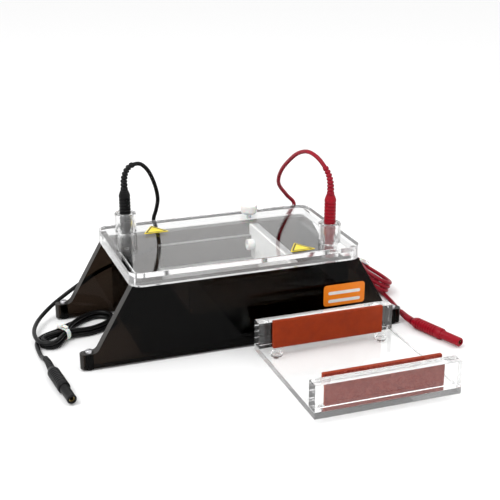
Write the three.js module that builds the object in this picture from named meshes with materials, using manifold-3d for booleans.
// Horizontal gel electrophoresis tank with its safety lid, gel tray, comb, power leads and casting stand.
// Millimetres, +Z up. Everything stands on z = 0, and the origin is the centre of the footprint.
import * as THREE from "three";
import { mergeVertices } from "three/addons/utils/BufferGeometryUtils.js";
import Module from "manifold-3d";

const wasm = await Module();
wasm.setup();

// ---------------------------------------------------------------- driving dimensions
const GAP = 0.1; // between pieces that rest on or are glued to each other
const RUNNING = 0.35; // radial clearance round screws and pins

// Side plates: two trapezoids with a low ear at each end, front and back.
const PLATE_T = 9.5;
const PLATE_OUTER_Y = 61.8;
const PLATE_INNER_Y = PLATE_OUTER_Y - PLATE_T;
const PLATE_TOP_Z = 71;
const PLATE_TOP_HALF = 103;
const PLATE_SLANT = 0.575; // outward run of the end edges per mm of drop
const EAR_TOP_Z = 15.3;
const EAR_BOTTOM_Z = 1.8;
const EAR_TIP_X = 149;
const EAR_BLEND_RUN = 3;
const FOOT_X = 141; // levelling screw axes
const FOOT_Y = PLATE_OUTER_Y - PLATE_T / 2;
const FOOT_R = 3.2;
const FOOT_PAD_T = 1.5;
const FOOT_PAD_R = FOOT_R + 0.4;
const FOOT_TOP_Z = 17.6;
const SLOT_HALF = 0.5;
const SLOT_DEPTH = 1.6;

// Trough between the plates.
const WALL_T = 5;
const END_WALL_X = 95.4; // outer face
const END_WALL_TOP_Z = 68;
const FLOOR_BOTTOM_Z = 6;
const FLOOR_T = 5;
const FLOOR_TOP_Z = FLOOR_BOTTOM_Z + FLOOR_T;
const TROUGH_HALF_Y = PLATE_INNER_Y - GAP;
const TROUGH_HALF_X = END_WALL_X - WALL_T - GAP;
const PLATFORM_HALF_X = 50.5;
const PLATFORM_TOP_Z = 34;
const BADGE = { x: 90, z: 38, halfX: 20, halfZ: 10, corner: 3, thick: 0.5 };

// Lid: a shallow box that rests on the plate tops.
const LID_HALF_X = 104.6;
const LID_HALF_Y = 66;
const LID_BOTTOM_Z = PLATE_TOP_Z + GAP;
const LID_TOP_Z = 83.1;
const LID_SHEET_T = 5.6;
const LID_RIM_T = 6;
const LID_CORNER_R = 11;
const KNOB = { x: 42, y: 56, r: 8, h: 9, edge: 1.2, shankR: 2.4, shankDrop: 3, dimpleR: 2.6, dimple: 1 };
const LABEL_REACH = 13.6; // from a label's middle to its corners
const LABEL_T = 0.5;
const BLACK_LABEL_AT = [-57, 36.6, 0];
const RED_LABEL_AT = [50.5, -52.7, 0];

// Electrode posts and the plug towers over them, at opposite corners of the trough.
const TOWER_X = 82;
const TOWER_Y = 44.5;
const TOWER_TOP_Z = 101;
const TOWER_R = 9.7;
const TOWER_LIP = 0.4;
const SHROUD_R = 7.7;
const SHROUD_BORE_R = 6.1;
const SHROUD_BOTTOM_Z = 50;
const SEAT_TOP_Z = 84; // the ledge that stops the plug's barrel
const SEAT_BOTTOM_Z = 80;
const SEAT_CONE = 1.5;
const POST_R = 4.5;
const POST_TOP_Z = 62;
const POST_FLANGE_R = 7;
const POST_FLANGE_TOP_Z = 15.2;
const PIN_R = 2;
const PIN_TIP_R = 0.9;
const PIN_ROOT_Z = POST_TOP_Z - 10;
const PIN_TOP_Z = POST_TOP_Z + 22;
const SEAL_R = 0.7;
const SEAL_RING_R = 5.5;
const WIRE_R = 0.35;
const WIRE_Z = 17;
const WIRE_BEND = 2;

// Shrouded 4 mm safety plugs and their leads.
const BARREL_R = 5.2;
const BARREL_L = 36;
const BARREL_NECK = 3;
const TIP_R = 4;
const TIP_L = 21;
const SOCKET_R = 2.35;
const SOCKET_DEPTH = 24;
const BOOT_R = 3.1;
const CORD_R = 1.9;
const CORD_SIDES = 8;
const CORD_STEP = 5.2 * CORD_R; // length of one facet of a cord
const BOOT_STEP = 4;
const BOOT_SIDES = 10;
const BLACK_PLUG_TOP_Z = 122;
const RED_PLUG_TOP_Z = 126.5;

// Hanks: the spare lead wound into three flattened turns, drawn in to a waist by a tie.
const HANK_RUN = 56;
const WAIST_SHARE = 0.34;
const WAIST_SPREAD = 11;
const TIE_T = 0.8;
const TIE_SLACK = 0.8;
const TIE_HALF_W = 2;
const BLACK_HANK = { r: 17.5, height: 8, waistAt: -15 };
const RED_HANK = { r: 13.6, height: 12, waistAt: 11 };

// Gel tray and comb.
const TRAY_HALF_X = 50.5;
const TRAY_HALF_Y = 51;
const TRAY_WALL_T = 5;
const TRAY_FLOOR_T = 4;
const TRAY_BOTTOM_Z = PLATFORM_TOP_Z + GAP;
const TRAY_TOP_Z = 60;
const COMB_X = 40.6;
const COMB_BLADE_T = 2.5;
const COMB_BAR_T = 6;
const COMB_TOP_Z = 70.2;
const COMB_HALF_Y = TRAY_HALF_Y;
const COMB_NECK_HALF_Y = TRAY_HALF_Y - TRAY_WALL_T - 0.6;
const COMB_TIP_Z = 39.2;
const COMB_TEETH = 10;
const COMB_SLIT = 2;
const COMB_SLIT_TOP_Z = 50;
const COMB_SCREW_Y = 38;
const COMB_SCREW_Z = 54;
const COMB_SCREW_HEAD = { r: 5.2, l: 7, edge: 0.8 };
const COMB_BAR_BOTTOM_Z = 46;

// Casting stand: base, two clear end blocks and two rubber sealing pads, beside the tank.
const STAND_FRONT_Y = -210.5;
const STAND_L = 132;
const STAND_W = 126;
const STAND_X = 61.4;
const STAND_FOOT_H = 5;
const STAND_FOOT_R = 5.5;
const STAND_BASE_T = 5.4;
const STAND_BLOCK_T = 12;
const STAND_BLOCK_H = 23;
const STAND_FOOT_INSET_X = 14;
const STAND_FOOT_INSET_Y = 17;
const PAD_T = 3.5;
const PAD_L = 102.5;
const PAD_H = 25;
const PAD_LIFT = 0.3;

// The tank's centre lies behind the origin, so that the footprint with the stand is centred.
const TANK_Y = -(LID_HALF_Y + STAND_FRONT_Y) / 2;

// ---------------------------------------------------------------- materials
const finish = (color, roughness, opacity = 1, metalness = 0) =>
  new THREE.MeshStandardMaterial({ color, roughness, opacity, transparent: opacity < 1, metalness });
const smoked = finish(0x1a1618, 0.08, 0.85);
const clear = finish(0xeef3f2, 0.05, 0.25);
const whitePlastic = finish(0xf1f1ee, 0.45);
const blackPlastic = finish(0x151515, 0.5);
const redPlastic = finish(0xb01830, 0.45);
const blackRubber = finish(0x121212, 0.7);
const redRubber = finish(0xa81a34, 0.55);
const padRubber = finish(0x96300e, 0.7);
const yellow = finish(0xf2d21b, 0.5);
const orange = finish(0xff8c00, 0.5);
const steel = finish(0xb9bbbd, 0.3, 1, 1);
const platinum = finish(0xd8d8d4, 0.25, 1, 1);

// ---------------------------------------------------------------- solid helpers
function solid(geometry) {
  const bare = geometry.clone();
  bare.deleteAttribute("normal");
  bare.deleteAttribute("uv");
  const merged = mergeVertices(bare, 1e-4);
  const vertProperties = new Float32Array(merged.attributes.position.array);
  const triVerts = new Uint32Array(merged.index.array);
  return new wasm.Manifold(new wasm.Mesh({ numProp: 3, vertProperties, triVerts }));
}

function geometryOf(manifold) {
  const mesh = manifold.getMesh();
  const geometry = new THREE.BufferGeometry();
  geometry.setAttribute("position", new THREE.BufferAttribute(mesh.vertProperties, 3));
  geometry.setIndex(new THREE.BufferAttribute(mesh.triVerts, 1));
  geometry.computeVertexNormals();
  return geometry;
}

function cut(body, ...tools) {
  const remaining = tools.reduce((left, tool) => left.subtract(solid(tool)), solid(body));
  return geometryOf(remaining);
}

// A box from its low corner to its high corner.
function block(low, high) {
  const size = high.map((value, i) => value - low[i]);
  const centre = high.map((value, i) => (value + low[i]) / 2);
  return new THREE.BoxGeometry(...size).translate(...centre);
}

// A round piece turned about Z from its half profile of [radius, z] points.
function turned(profile, sides = 32) {
  const points = profile.map(([r, z]) => new THREE.Vector2(r, z));
  return new THREE.LatheGeometry(points, sides).rotateX(Math.PI / 2);
}

function rod(r, z0, z1, at = [0, 0], sides = 24) {
  const cylinder = new THREE.CylinderGeometry(r, r, z1 - z0, sides).rotateX(Math.PI / 2);
  return cylinder.translate(at[0], at[1], (z0 + z1) / 2);
}

// An outline in XY with z0..z1 as its thickness.
function slabUp(shape, z0, z1, curveSegments = 8) {
  const slab = new THREE.ExtrudeGeometry(shape, { depth: z1 - z0, bevelEnabled: false, curveSegments });
  return slab.translate(0, 0, z0);
}

// An outline drawn in XZ, with y0..y1 as its thickness.
const slabAcross = (shape, y0, y1, curveSegments = 8) =>
  new THREE.ExtrudeGeometry(shape, { depth: y1 - y0, bevelEnabled: false, curveSegments })
    .rotateX(Math.PI / 2)
    .translate(0, y1, 0);

// An outline drawn in YZ, with x0..x1 as its thickness.
const slabAlong = (shape, x0, x1) =>
  new THREE.ExtrudeGeometry(shape, { depth: x1 - x0, bevelEnabled: false })
    .rotateX(Math.PI / 2)
    .rotateZ(Math.PI / 2)
    .translate(x0, 0, 0);

function polygon(points) {
  return new THREE.Shape(points.map(([x, y]) => new THREE.Vector2(x, y)));
}

function roundedRectangle(halfX, halfY, r) {
  const shape = new THREE.Shape();
  shape.absarc(halfX - r, halfY - r, r, 0, Math.PI / 2);
  shape.absarc(-halfX + r, halfY - r, r, Math.PI / 2, Math.PI);
  shape.absarc(-halfX + r, -halfY + r, r, Math.PI, 1.5 * Math.PI);
  shape.absarc(halfX - r, -halfY + r, r, 1.5 * Math.PI, 2 * Math.PI);
  return shape;
}

// A run with a full round at both ends.
function stadium(run, r) {
  const shape = new THREE.Shape();
  shape.absarc(run / 2, 0, r, -Math.PI / 2, Math.PI / 2);
  shape.absarc(-run / 2, 0, r, Math.PI / 2, 1.5 * Math.PI);
  return shape;
}

// A round bar that follows a smooth curve through the points.
function tube(points, r, step, sides = CORD_SIDES) {
  const curve = new THREE.CatmullRomCurve3(points.map((p) => new THREE.Vector3(...p)), false, "centripetal");
  const corners = Array.from({ length: sides }, (_, i) => (2 * Math.PI * i) / sides);
  const section = polygon(corners.map((a) => [r * Math.cos(a), r * Math.sin(a)]));
  const steps = Math.max(3, Math.round(curve.getLength() / step));
  return new THREE.ExtrudeGeometry(section, { steps, extrudePath: curve, bevelEnabled: false });
}

// ---------------------------------------------------------------- scene graph
const tankSet = new THREE.Group();
const tank = new THREE.Group();
tank.position.y = TANK_Y;
tankSet.add(tank);

function add(name, geometry, material, at = [0, 0, 0], parent = tank) {
  const mesh = new THREE.Mesh(geometry, material);
  mesh.name = name;
  mesh.position.set(...at);
  parent.add(mesh);
  return mesh;
}

// ---------------------------------------------------------------- tank
function sidePlateGeometry() {
  const earX = PLATE_TOP_HALF + PLATE_SLANT * (PLATE_TOP_Z - EAR_TOP_Z);
  const blendRun = EAR_BLEND_RUN;
  const outline = new THREE.Shape();
  outline.moveTo(-EAR_TIP_X, EAR_BOTTOM_Z);
  outline.lineTo(EAR_TIP_X, EAR_BOTTOM_Z);
  outline.lineTo(EAR_TIP_X, EAR_TOP_Z);
  outline.lineTo(earX + blendRun, EAR_TOP_Z);
  outline.quadraticCurveTo(earX, EAR_TOP_Z, earX - PLATE_SLANT * blendRun, EAR_TOP_Z + blendRun);
  outline.lineTo(PLATE_TOP_HALF, PLATE_TOP_Z);
  outline.lineTo(-PLATE_TOP_HALF, PLATE_TOP_Z);
  outline.lineTo(-earX + PLATE_SLANT * blendRun, EAR_TOP_Z + blendRun);
  outline.quadraticCurveTo(-earX, EAR_TOP_Z, -earX - blendRun, EAR_TOP_Z);
  outline.lineTo(-EAR_TIP_X, EAR_TOP_Z);
  const flat = slabAcross(outline, -PLATE_T / 2, PLATE_T / 2);
  const plan = slabUp(stadium(2 * EAR_TIP_X - PLATE_T, PLATE_T / 2 + 1e-3), 0, PLATE_TOP_Z + 1);
  const holes = [-FOOT_X, FOOT_X].map((x) => rod(FOOT_R + RUNNING, 0, FOOT_TOP_Z, [x, 0]));
  const trimmed = geometryOf(solid(flat).intersect(solid(plan)));
  return cut(trimmed, ...holes);
}

function makeTrough() {
  add("front_side_plate", sidePlateGeometry(), smoked, [0, -FOOT_Y, 0]);
  add("back_side_plate", sidePlateGeometry(), smoked, [0, FOOT_Y, 0]);
  for (const [name, x0] of [["left_end_wall", -END_WALL_X], ["right_end_wall", END_WALL_X - WALL_T]]) {
    const wall = block([x0, -TROUGH_HALF_Y, FLOOR_BOTTOM_Z], [x0 + WALL_T, TROUGH_HALF_Y, END_WALL_TOP_Z]);
    add(name, wall, smoked);
  }
  const floorLow = [-TROUGH_HALF_X, -TROUGH_HALF_Y, FLOOR_BOTTOM_Z];
  add("tank_floor", block(floorLow, [TROUGH_HALF_X, TROUGH_HALF_Y, FLOOR_TOP_Z]), smoked);
  const inside = PLATFORM_HALF_X - WALL_T;
  const section = polygon([
    [-PLATFORM_HALF_X, FLOOR_TOP_Z + GAP],
    [-inside, FLOOR_TOP_Z + GAP],
    [-inside, PLATFORM_TOP_Z - WALL_T],
    [inside, PLATFORM_TOP_Z - WALL_T],
    [inside, FLOOR_TOP_Z + GAP],
    [PLATFORM_HALF_X, FLOOR_TOP_Z + GAP],
    [PLATFORM_HALF_X, PLATFORM_TOP_Z],
    [-PLATFORM_HALF_X, PLATFORM_TOP_Z],
  ]);
  add("gel_platform", slabAcross(section, -TROUGH_HALF_Y, TROUGH_HALF_Y), smoked);
}

function makeBadge() {
  const outline = roundedRectangle(BADGE.halfX, BADGE.halfZ, BADGE.corner);
  const plate = slabAcross(outline, -BADGE.thick, 0, 4);
  add("front_badge", plate, orange, [BADGE.x, -PLATE_OUTER_Y - GAP, BADGE.z]);
}

function makeElectrode(colour, material, x, y) {
  const flangeZ = FLOOR_TOP_Z + 2 * SEAL_R + 2 * GAP;
  const post = [
    [0, flangeZ],
    [POST_FLANGE_R, flangeZ],
    [POST_FLANGE_R, POST_FLANGE_TOP_Z],
    [POST_R, POST_FLANGE_TOP_Z],
    [POST_R, POST_TOP_Z],
    [PIN_R + GAP, POST_TOP_Z],
    [PIN_R + GAP, PIN_ROOT_Z],
    [0, PIN_ROOT_Z],
  ];
  add(`${colour}_electrode_post`, turned(post, 24), material, [x, y, 0]);
  const pin = [
    [0, PIN_ROOT_Z + GAP],
    [PIN_R, PIN_ROOT_Z + GAP],
    [PIN_R, PIN_TOP_Z - PIN_R],
    [PIN_TIP_R, PIN_TOP_Z],
    [0, PIN_TOP_Z],
  ];
  add(`${colour}_post_pin`, turned(pin, 16), steel, [x, y, 0]);
  const ring = Array.from({ length: 9 }, (_, i) => (Math.PI * i) / 4);
  const sealZ = FLOOR_TOP_Z + GAP + SEAL_R;
  const seal = ring.map((a) => [SEAL_RING_R + SEAL_R * Math.cos(a), sealZ + SEAL_R * Math.sin(a)]);
  add(`${colour}_post_seal`, turned(seal, 20), blackRubber, [x, y, 0]);
  // The wire leaves the post, crosses the trough and turns down into the floor by the far plate.
  const way = -Math.sign(y);
  const start = POST_R + GAP;
  const far = 2 * TOWER_Y + WIRE_BEND;
  const wire = [
    [0, way * start, WIRE_Z],
    [0, way * (far / 2), WIRE_Z],
    [0, way * (far - 2 * WIRE_BEND), WIRE_Z],
    [0, way * (far - WIRE_BEND / 2), WIRE_Z - WIRE_BEND / 2],
    [0, way * far, WIRE_Z - 2 * WIRE_BEND],
    [0, way * far, FLOOR_TOP_Z + GAP],
  ];
  add(`${colour}_platinum_wire`, tube(wire, WIRE_R, 4, 6), platinum, [x, y, 0]);
}

function makeFeet() {
  for (const [end, x] of [["left", -FOOT_X], ["right", FOOT_X]])
    for (const [side, y] of [["front", -FOOT_Y], ["back", FOOT_Y]]) {
      const shank = rod(FOOT_R, FOOT_PAD_T + GAP, FOOT_TOP_Z);
      const slotLow = [-FOOT_R - 1, -SLOT_HALF, FOOT_TOP_Z - SLOT_DEPTH];
      const slot = block(slotLow, [FOOT_R + 1, SLOT_HALF, FOOT_TOP_Z + 1]);
      add(`${side}_${end}_levelling_screw`, cut(shank, slot), steel, [x, y, 0]);
      add(`${side}_${end}_foot_pad`, rod(FOOT_PAD_R, 0, FOOT_PAD_T), blackRubber, [x, y, 0]);
    }
}

// ---------------------------------------------------------------- lid
function makeCover() {
  const outer = slabUp(roundedRectangle(LID_HALF_X, LID_HALF_Y, LID_CORNER_R), LID_BOTTOM_Z, LID_TOP_Z);
  const inner = [LID_HALF_X, LID_HALF_Y, LID_CORNER_R].map((size) => size - LID_RIM_T);
  const recess = slabUp(roundedRectangle(...inner), LID_BOTTOM_Z - 1, LID_TOP_Z - LID_SHEET_T);
  const bore = (r, at) => rod(r + RUNNING, LID_BOTTOM_Z, LID_TOP_Z + 1, at, 32);
  const holes = [
    bore(SHROUD_R, [-TOWER_X, TOWER_Y]),
    bore(SHROUD_R, [TOWER_X, -TOWER_Y]),
    bore(KNOB.shankR, [KNOB.x, KNOB.y]),
  ];
  add("lid_cover", cut(outer, recess, ...holes), clear);
}

function makeKnob() {
  const base = LID_TOP_Z + GAP;
  const shankBottom = LID_TOP_Z - LID_SHEET_T - KNOB.shankDrop;
  const top = base + KNOB.h;
  const knob = [
    [0, shankBottom],
    [KNOB.shankR, shankBottom],
    [KNOB.shankR, base],
    [KNOB.r - KNOB.edge / 2, base],
    [KNOB.r, base + KNOB.edge / 2],
    [KNOB.r, top - KNOB.edge],
    [KNOB.r - KNOB.edge, top],
    [KNOB.dimpleR, top],
    [KNOB.dimpleR, top - KNOB.dimple],
    [0, top - KNOB.dimple],
  ];
  add("lid_knob", turned(knob, 28), whitePlastic, [KNOB.x, KNOB.y, 0]);
}

function makeTowers() {
  const barrelBore = BARREL_R + RUNNING;
  const tipBore = TIP_R + RUNNING;
  const tower = [
    [SHROUD_BORE_R, SHROUD_BOTTOM_Z],
    [SHROUD_R, SHROUD_BOTTOM_Z],
    [SHROUD_R, LID_TOP_Z + GAP],
    [TOWER_R, LID_TOP_Z + GAP],
    [TOWER_R, TOWER_TOP_Z - 3],
    [TOWER_R + TOWER_LIP, TOWER_TOP_Z - 2],
    [TOWER_R + TOWER_LIP, TOWER_TOP_Z - TOWER_LIP],
    [TOWER_R - TOWER_LIP, TOWER_TOP_Z],
    [barrelBore + 2 * TOWER_LIP, TOWER_TOP_Z],
    [barrelBore, TOWER_TOP_Z - 1],
    [barrelBore, SEAT_TOP_Z],
    [tipBore, SEAT_TOP_Z],
    [tipBore, SEAT_BOTTOM_Z],
    [SHROUD_BORE_R, SEAT_BOTTOM_Z - SEAT_CONE],
    [SHROUD_BORE_R, SHROUD_BOTTOM_Z],
  ];
  add("black_plug_tower", turned(tower), clear, [-TOWER_X, TOWER_Y, 0]);
  add("red_plug_tower", turned(tower), clear, [TOWER_X, -TOWER_Y, 0]);
}

function makeSideLabels() {
  const corners = [0, 1, 2].map((i) => Math.PI * (0.5 + (2 * i) / 3));
  const triangle = polygon(corners.map((a) => [LABEL_REACH * Math.cos(a), LABEL_REACH * Math.sin(a)]));
  const stuck = LID_TOP_Z + GAP;
  add("black_side_label", slabUp(triangle, stuck, stuck + LABEL_T), yellow, BLACK_LABEL_AT);
  add("red_side_label", slabUp(triangle, stuck, stuck + LABEL_T), yellow, RED_LABEL_AT);
}

// ---------------------------------------------------------------- gel tray and comb
function makeTrayAndComb() {
  const inY = TRAY_HALF_Y - TRAY_WALL_T;
  const floorZ = TRAY_BOTTOM_Z + TRAY_FLOOR_T;
  const channel = polygon([
    [-TRAY_HALF_Y, TRAY_BOTTOM_Z],
    [TRAY_HALF_Y, TRAY_BOTTOM_Z],
    [TRAY_HALF_Y, TRAY_TOP_Z],
    [inY, TRAY_TOP_Z],
    [inY, floorZ],
    [-inY, floorZ],
    [-inY, TRAY_TOP_Z],
    [-TRAY_HALF_Y, TRAY_TOP_Z],
  ]);
  add("gel_tray", slabAlong(channel, -TRAY_HALF_X, TRAY_HALF_X), clear);

  const wingZ = TRAY_TOP_Z + 2 * GAP;
  const shoulders = [
    [COMB_NECK_HALF_Y, wingZ],
    [COMB_HALF_Y, wingZ],
    [COMB_HALF_Y, COMB_TOP_Z],
    [-COMB_HALF_Y, COMB_TOP_Z],
    [-COMB_HALF_Y, wingZ],
    [-COMB_NECK_HALF_Y, wingZ],
  ];
  const pitch = (2 * COMB_NECK_HALF_Y + COMB_SLIT) / COMB_TEETH;
  const edge = [];
  for (let i = 0; i < COMB_TEETH; i += 1) {
    const y0 = -COMB_NECK_HALF_Y + i * pitch;
    const y1 = y0 + pitch - COMB_SLIT;
    edge.push([y0, COMB_TIP_Z], [y1, COMB_TIP_Z]);
    if (i < COMB_TEETH - 1) edge.push([y1, COMB_SLIT_TOP_Z], [y1 + COMB_SLIT, COMB_SLIT_TOP_Z]);
  }
  const screwHole = (y) => {
    const hole = new THREE.CylinderGeometry(PIN_R + RUNNING, PIN_R + RUNNING, 30, 16);
    return hole.rotateZ(Math.PI / 2).translate(COMB_X, y, COMB_SCREW_Z);
  };
  const holes = [-COMB_SCREW_Y, COMB_SCREW_Y].map(screwHole);
  const blade = slabAlong(polygon([...edge, ...shoulders]), COMB_X, COMB_X + COMB_BLADE_T);
  add("comb_blade", cut(blade, ...holes), whitePlastic);

  const barX = COMB_X + COMB_BLADE_T + GAP;
  const barFoot = [-COMB_NECK_HALF_Y, COMB_NECK_HALF_Y].map((y) => [y, COMB_BAR_BOTTOM_Z]);
  const bar = slabAlong(polygon([...barFoot, ...shoulders]), barX, barX + COMB_BAR_T);
  add("comb_holder", cut(bar, ...holes), clear);

  const { r, l, edge: roundEdge } = COMB_SCREW_HEAD;
  const shankL = COMB_BLADE_T + COMB_BAR_T;
  const screw = [
    [0, -l],
    [r - roundEdge, -l],
    [r, -l + roundEdge],
    [r, 0],
    [PIN_R, 0],
    [PIN_R, shankL],
    [0, shankL],
  ];
  for (const [name, y] of [["front_comb_screw", -COMB_SCREW_Y], ["back_comb_screw", COMB_SCREW_Y]])
    add(name, turned(screw, 20).rotateY(Math.PI / 2), whitePlastic, [COMB_X - GAP, y, COMB_SCREW_Z]);
}

// ---------------------------------------------------------------- power leads
// The plug's profile runs from its tip at 0 to the boot end, along +Z.
function plugProfile() {
  const end = TIP_L + BARREL_L;
  return [
    [SOCKET_R, 0],
    [TIP_R - 0.4, 0],
    [TIP_R, 0.5],
    [TIP_R, TIP_L],
    [BARREL_R, TIP_L + 0.8],
    [BARREL_R, end - BARREL_NECK],
    [BOOT_R + 0.3, end],
    [0, end],
    [0, SOCKET_DEPTH],
    [SOCKET_R, SOCKET_DEPTH],
    [SOCKET_R, 0],
  ];
}

function layPlug(name, material, boot, tipDirection) {
  const length = TIP_L + BARREL_L;
  const heading = new THREE.Vector3(...tipDirection).normalize();
  const plug = add(name, turned(plugProfile(), 24), material);
  plug.position.set(...boot).addScaledVector(heading, length);
  plug.quaternion.setFromUnitVectors(new THREE.Vector3(0, 0, 1), heading.negate());
}

// How far the turns are drawn in at a place along the hank.
const waist = (u, waistAt) => 1 - (1 - WAIST_SHARE) * Math.exp(-(((u - waistAt) / WAIST_SPREAD) ** 2));

// A hank lies along its group's X axis, flat on the group's XY plane, with its tie round the waist.
function makeHank(colour, material, { r, height, waistAt }) {
  const group = new THREE.Group();
  tank.add(group);
  const runPoints = 12;
  const capPoints = 10;
  const side = Array.from({ length: runPoints }, (_, i) => [-HANK_RUN / 2 + (HANK_RUN * i) / runPoints, -r]);
  const cap = Array.from({ length: capPoints }, (_, i) => {
    const a = -Math.PI / 2 + (Math.PI * i) / capPoints;
    return [HANK_RUN / 2 + r * Math.cos(a), r * Math.sin(a)];
  });
  const half = [...side, ...cap];
  const outline = [...half, ...half.map(([u, v]) => [-u, -v])];
  const drawnIn = outline.map(([u, v]) => [u, v * waist(u, waistAt)]);
  add(`${colour}_lead_hank`, slabUp(polygon(drawnIn), -height / 2, height / 2), material, [0, 0, 0], group);
  const inY = r * waist(waistAt + TIE_HALF_W, waistAt) + TIE_SLACK;
  const inZ = height / 2 + TIE_SLACK;
  const outer = block([-TIE_HALF_W, -inY - TIE_T, -inZ - TIE_T], [TIE_HALF_W, inY + TIE_T, inZ + TIE_T]);
  const inner = block([-TIE_HALF_W - 1, -inY, -inZ], [TIE_HALF_W + 1, inY, inZ]);
  add(`${colour}_lead_tie`, cut(outer, inner), whitePlastic, [waistAt, 0, 0], group);
  return group;
}

// Centre lines of the leads, from the tower plug round to the plug on the bench.
const BLACK_TOWER_BOOT = [
  [-82, 44.5, 122.3], [-82, 44.5, 127], [-81.7, 44.5, 133], [-79.6, 44.8, 139.5], [-76, 45.3, 143.6],
  [-72.8, 45.8, 144.8],
];
const BLACK_DROP = [
  [-71.9, 45.95, 145], [-67, 47.2, 144.8], [-58.8, 50.5, 138], [-50.5, 56, 121], [-46.5, 62, 105],
  [-47, 67.2, 93], [-49, 70, 83], [-47.5, 70.3, 70], [-47, 70.4, 60], [-52, 70.5, 51], [-64, 70.5, 46.5],
  [-78, 70.4, 44.5], [-93, 70, 42], [-108, 69.5, 36], [-124, 68.5, 27], [-140, 67, 17.5], [-151, 62.5, 12],
  [-162, 51, 8.5], [-170, 36, 7.6], [-174.5, 24, 7.5], [-175.2, 14.6, 7.5],
];
const BLACK_TAIL = [
  [-175, -9.8, 3.4], [-175.8, -17, 2.3], [-176, -25, 2.4], [-175.2, -30, 3.6], [-174.6, -34.4, 4.8],
];
const BLACK_FLOOR_BOOT = [[-174.4, -34.8, 5], [-173.6, -42, 5.4], [-173.2, -50, 5.4], [-173.1, -59.5, 5.4]];
const RED_TOWER_BOOT = [
  [82, -44.5, 126.8], [82, -44.5, 131], [81.6, -44.2, 138], [80.6, -42.4, 144.5], [78.9, -38.6, 150],
];
const RED_DROP = [
  [78.6, -38, 150.7], [76.3, -32, 155.4], [72.5, -17, 159], [69.5, -2, 155], [67.5, 16, 144],
  [66.6, 36, 127.5], [71, 52, 111], [84, 64, 95], [94.5, 69.8, 82.5], [88, 70.4, 70], [80.5, 70.6, 58],
  [79, 70.7, 45], [82, 71, 31], [89, 72, 16], [100, 75, 6], [114, 79, 2.5], [130, 84.5, 2.3],
  [144, 90.5, 2.3], [155, 93.5, 2.3], [164, 91, 2.8], [168.4, 82.6, 3.4],
];
const RED_TAIL = [
  [163.6, 1.5, 2.4], [163.4, -8, 2.2], [162, -19, 2.3], [159.4, -32, 3], [156.6, -43, 4.8], [155.7, -48, 5.2],
];
const RED_FLOOR_BOOT = [[155.5, -48.6, 5.3], [155, -55, 5.4], [154.7, -62, 5.4], [155.4, -71.5, 5.4]];

function makeBlackLead() {
  const towerPlug = turned(plugProfile(), 24);
  add("black_tower_plug", towerPlug, blackPlastic, [-TOWER_X, TOWER_Y, BLACK_PLUG_TOP_Z - TIP_L - BARREL_L]);
  add("black_tower_boot", tube(BLACK_TOWER_BOOT, BOOT_R, BOOT_STEP, BOOT_SIDES), blackRubber);
  add("black_lead_cord", tube(BLACK_DROP, CORD_R, CORD_STEP), blackRubber);
  const hank = makeHank("black", blackRubber, BLACK_HANK);
  hank.position.set(-138, 18, 6);
  hank.rotation.z = 0.576;
  add("black_lead_tail", tube(BLACK_TAIL, CORD_R, CORD_STEP), blackRubber);
  add("black_floor_boot", tube(BLACK_FLOOR_BOOT, BOOT_R, BOOT_STEP, BOOT_SIDES), blackRubber);
  layPlug("black_floor_plug", blackPlastic, [-173, -60, 5.5], [0.1, -0.995, 0]);
}

function makeRedLead() {
  const towerPlug = turned(plugProfile(), 24);
  add("red_tower_plug", towerPlug, redPlastic, [TOWER_X, -TOWER_Y, RED_PLUG_TOP_Z - TIP_L - BARREL_L]);
  add("red_tower_boot", tube(RED_TOWER_BOOT, BOOT_R, BOOT_STEP, BOOT_SIDES), redRubber);
  add("red_lead_cord", tube(RED_DROP, CORD_R, CORD_STEP), redRubber);
  const hank = makeHank("red", redRubber, RED_HANK);
  hank.position.set(162.5, 42, 11.6);
  hank.rotation.set(0, 0.45, Math.PI / 2, "YXZ");
  add("red_lead_tail", tube(RED_TAIL, CORD_R, CORD_STEP), redRubber);
  add("red_floor_boot", tube(RED_FLOOR_BOOT, BOOT_R, BOOT_STEP, BOOT_SIDES), redRubber);
  layPlug("red_floor_plug", redPlastic, [155.8, -72.6, 5.5], [0.3, -0.954, 0]);
}

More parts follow.
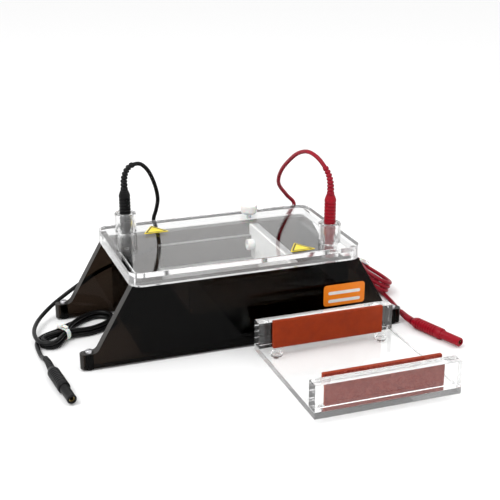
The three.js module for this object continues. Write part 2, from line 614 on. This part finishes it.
// ---------------------------------------------------------------- casting stand
function makeStand() {
  const baseZ = STAND_FOOT_H + GAP;
  const blockZ = baseZ + STAND_BASE_T + GAP;
  const x0 = STAND_X - STAND_W / 2;
  const x1 = STAND_X + STAND_W / 2;
  const backY = STAND_FRONT_Y + STAND_L;
  add("stand_base", block([x0, STAND_FRONT_Y, baseZ], [x1, backY, baseZ + STAND_BASE_T]), clear);
  const blockTop = blockZ + STAND_BLOCK_H;
  const padZ = blockZ + PAD_LIFT;
  const ends = [
    ["near", STAND_FRONT_Y, STAND_FRONT_Y + STAND_BLOCK_T, 1],
    ["far", backY - STAND_BLOCK_T, backY, -1],
  ];
  for (const [end, y0, y1, inward] of ends) {
    add(`${end}_clear_block`, block([x0, y0, blockZ], [x1, y1, blockTop]), clear);
    const face = inward > 0 ? y1 + GAP : y0 - GAP - PAD_T;
    const pad = block([STAND_X - PAD_L / 2, face, padZ], [STAND_X + PAD_L / 2, face + PAD_T, padZ + PAD_H]);
    add(`${end}_rubber_pad`, pad, padRubber);
  }
  // A soft dome of a foot, upside down.
  const foot = [
    [0, 0],
    [0.62 * STAND_FOOT_R, 0],
    [0.87 * STAND_FOOT_R, 0.24 * STAND_FOOT_H],
    [STAND_FOOT_R, 0.64 * STAND_FOOT_H],
    [STAND_FOOT_R, STAND_FOOT_H],
    [0, STAND_FOOT_H],
  ];
  for (const [end, y] of [["near", STAND_FRONT_Y + STAND_FOOT_INSET_Y], ["far", backY - STAND_FOOT_INSET_Y]])
    for (const [side, x] of [["left", x0 + STAND_FOOT_INSET_X], ["right", x1 - STAND_FOOT_INSET_X]])
      add(`${end}_${side}_stand_foot`, turned(foot, 20), clear, [x, y, 0]);
}

makeTrough();
makeBadge();
makeElectrode("black", blackPlastic, -TOWER_X, TOWER_Y);
makeElectrode("red", redPlastic, TOWER_X, -TOWER_Y);
makeFeet();
makeCover();
makeKnob();
makeTowers();
makeSideLabels();
makeTrayAndComb();
makeBlackLead();
makeRedLead();
makeStand();

export default tankSet;
